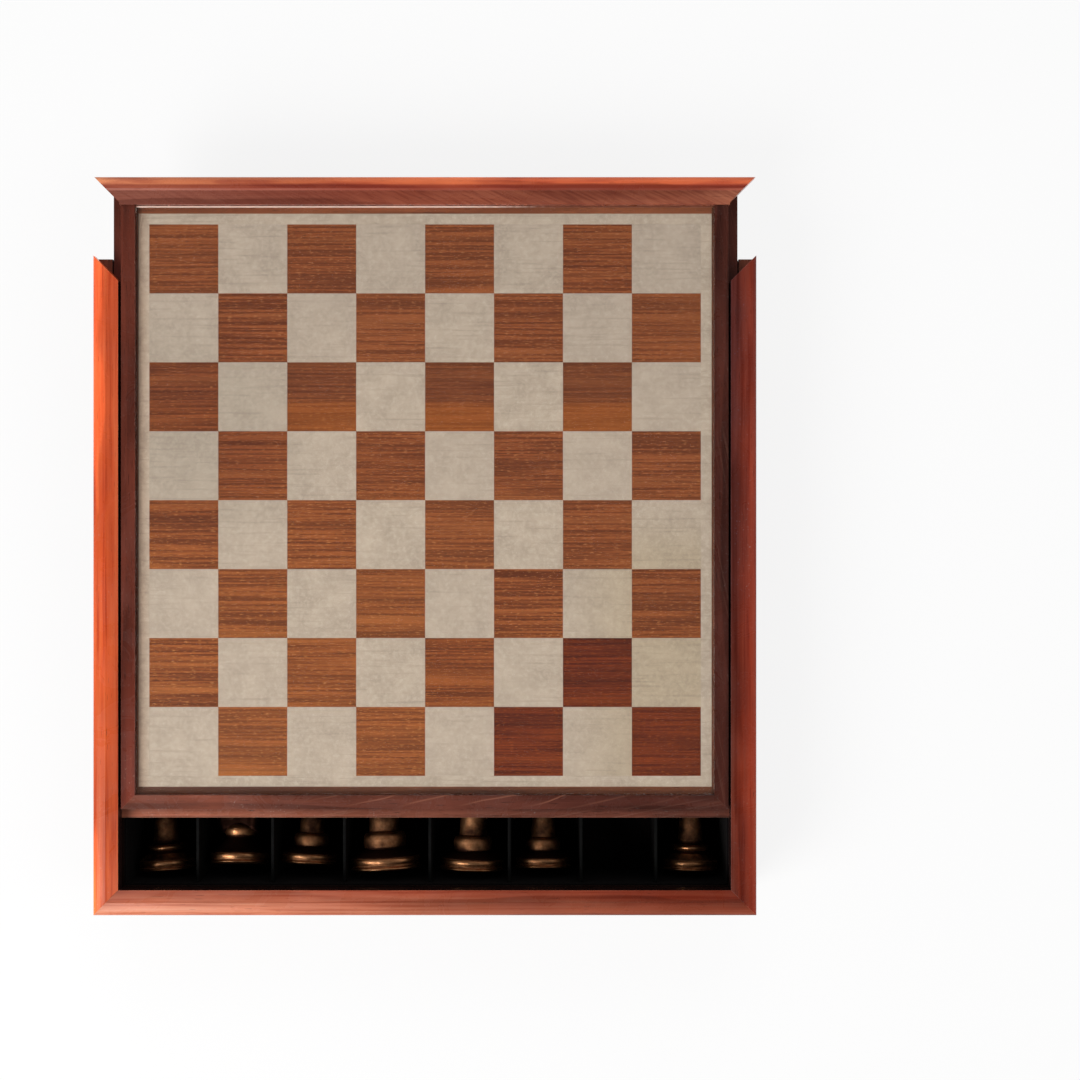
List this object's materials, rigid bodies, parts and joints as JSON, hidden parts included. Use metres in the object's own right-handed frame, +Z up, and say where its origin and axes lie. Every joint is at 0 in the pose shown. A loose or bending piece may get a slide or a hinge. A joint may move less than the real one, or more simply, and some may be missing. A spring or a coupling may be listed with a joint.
{
  "type": "chess box with drawer",
  "caption": "Shallow wooden chess box: a compartment drawer with mitred moulding slides out from under a framed, glass-topped chessboard; copper men lie in its front row.",
  "frame": {"origin": "centre of the drawer's base, on its underside", "axes": "+X to the right, -Y towards the drawer's front, +Z up through the playing surface"},
  "size_m": [0.432, 0.481, 0.0735],
  "materials": {
    "moulding_wood": "reddish hardwood moulding under a glossy varnish",
    "wall_wood": "dark red-brown hardwood, satin varnish",
    "frame_wood": "dark brown hardwood, glossy varnish",
    "strip_wood": "brown hardwood, satin",
    "panel_board": "bare plywood",
    "bead_wood": "unpolished hardwood",
    "dark_veneer": "reddish-brown veneer with a fine straight grain",
    "pale_veneer": "grey-ivory veneer, faintly mottled",
    "glass": "clear polished sheet glass",
    "felt": "black felt",
    "divider_board": "thin board stained black, worn grey along its top edge",
    "copper": "antique copper plate, dark in its recesses",
    "steel": "plain wire and screw steel"
  },
  "bodies": {
    "board_top": {"frame_left": "frame_wood", "frame_right": "frame_wood", "frame_front": "frame_wood", "rear_batten": "frame_wood", "rear_rail": "moulding_wood", "rail_screws": "steel", "board_panel": "panel_board", "dark_squares": "dark_veneer", "light_squares": "pale_veneer", "border_veneer": "pale_veneer", "left_strip": "strip_wood", "right_strip": "strip_wood", "front_strip": "strip_wood", "rear_strip": "strip_wood", "glass_sheet": "glass", "left_bead": "bead_wood", "right_bead": "bead_wood", "front_bead": "bead_wood", "rear_bead": "bead_wood", "bead_brads": "steel"},
    "drawer": {"left_wall": "wall_wood", "right_wall": "wall_wood", "front_wall": "wall_wood", "rear_wall": "wall_wood", "base_panel": "panel_board", "base_screws": "steel", "left_moulding": "moulding_wood", "right_moulding": "moulding_wood", "front_moulding": "moulding_wood", "floor_felt": "felt", "left_felt": "felt", "right_felt": "felt", "front_felt": "felt", "rear_felt": "felt", "file_divider_1": "divider_board", "file_divider_2": "divider_board", "file_divider_3": "divider_board", "file_divider_4": "divider_board", "file_divider_5": "divider_board", "file_divider_6": "divider_board", "file_divider_7": "divider_board", "rank_divider_1": "divider_board", "rank_divider_2": "divider_board", "rank_divider_3": "divider_board", "left_rook": "copper", "knight": "copper", "left_bishop": "copper", "king": "copper", "queen": "copper", "right_bishop": "copper", "right_rook": "copper"}
  },
  "joints": [
    {"name": "drawer_slide", "type": "slide", "parent": "board_top", "child": "drawer", "axis": [0, -1, 0], "range_m": [-0.051, 0.304]}
  ]
}
